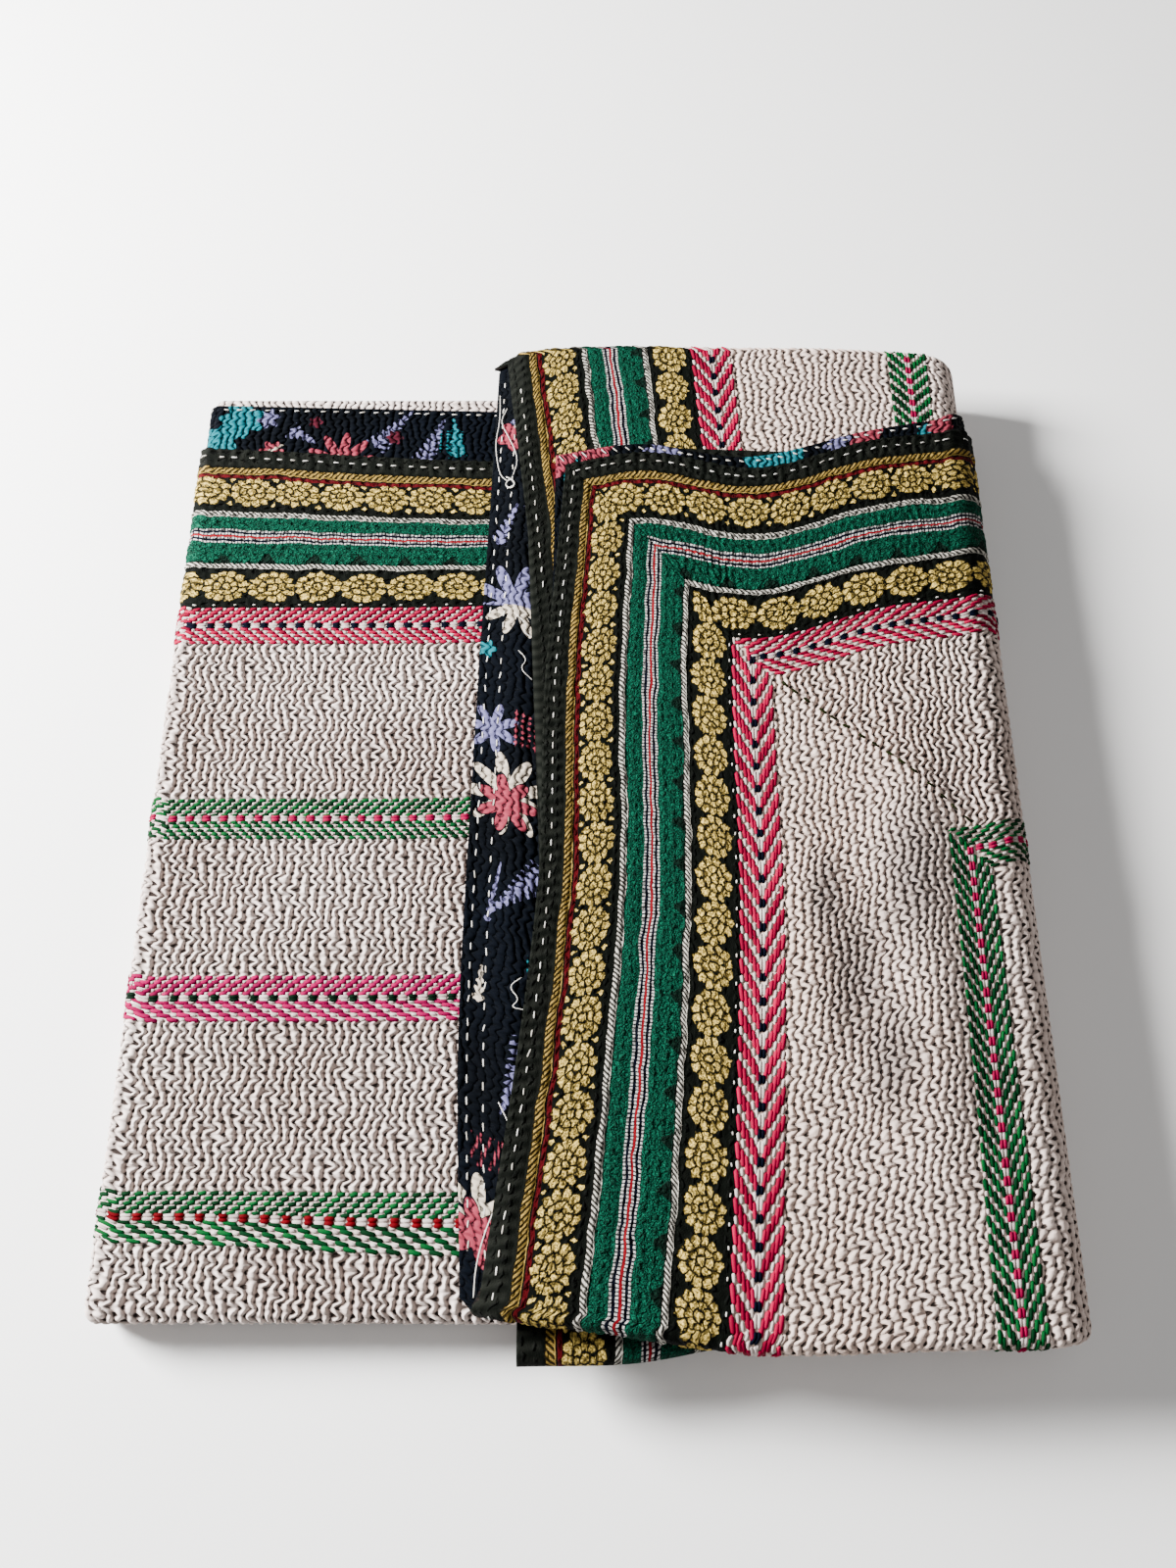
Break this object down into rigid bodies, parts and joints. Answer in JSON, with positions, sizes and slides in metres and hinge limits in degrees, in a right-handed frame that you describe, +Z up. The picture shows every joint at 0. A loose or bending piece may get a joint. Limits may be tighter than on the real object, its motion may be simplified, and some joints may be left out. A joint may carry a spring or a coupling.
{
  "type": "kantha quilt",
  "caption": "Reversible cotton kantha quilt with sewn woven border tape, folded in quarters both ways into a flat pack that lies on a surface.",
  "frame": {"origin": "centre of the folded pack's footprint, on the surface it lies on", "axes": "+Z up through the pack's layers; +Y along the quilt's length as folded, from the near folds to the far edges; +X along its width, towards the full-height side"},
  "size_m": [0.477, 0.5727, 0.0586],
  "materials": {
    "quilted_cotton": "layered soft cotton, running-stitched all over",
    "border_tape": "woven patterned tape, matt cotton with thick raised weft"
  },
  "bodies": {
    "root": {"quilt": "quilted_cotton", "tape_first_end": "border_tape", "tape_last_end": "border_tape", "tape_first_side": "border_tape", "tape_last_side": "border_tape"}
  },
  "joints": []
}
